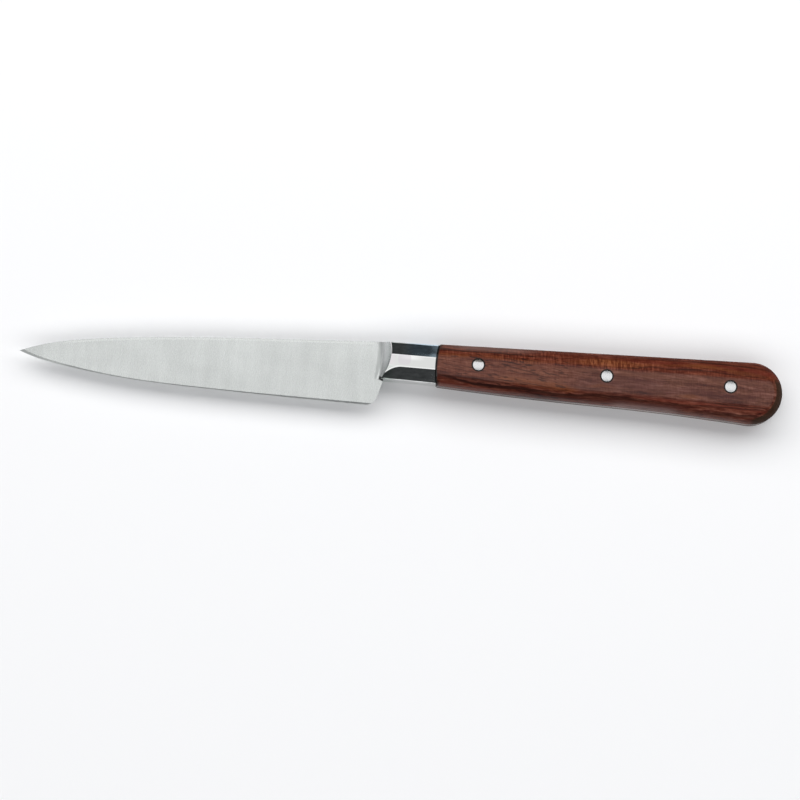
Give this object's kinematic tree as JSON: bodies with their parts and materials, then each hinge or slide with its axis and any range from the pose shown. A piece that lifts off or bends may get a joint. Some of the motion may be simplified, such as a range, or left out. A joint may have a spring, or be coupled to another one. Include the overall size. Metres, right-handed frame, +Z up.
{
  "type": "paring knife",
  "caption": "Paring knife lying on its side: forged steel blade with bolster and full tang, riveted hardwood scales.",
  "frame": {"origin": "on the table, under the middle of the knife's bounding box, with the knife lying on its side", "axes": "+X along the knife from the tip to the butt, +Y from the cutting edge to the spine, +Z up through the handle's thickness"},
  "size_m": [0.2056, 0.02, 0.012],
  "materials": {
    "blade_steel": "satin",
    "handle_wood": "satin",
    "rivet_metal": "polished"
  },
  "bodies": {
    "root": {"blade": "blade_steel", "left_scale": "handle_wood", "right_scale": "handle_wood", "front_rivet": "rivet_metal", "middle_rivet": "rivet_metal", "rear_rivet": "rivet_metal"}
  },
  "joints": []
}
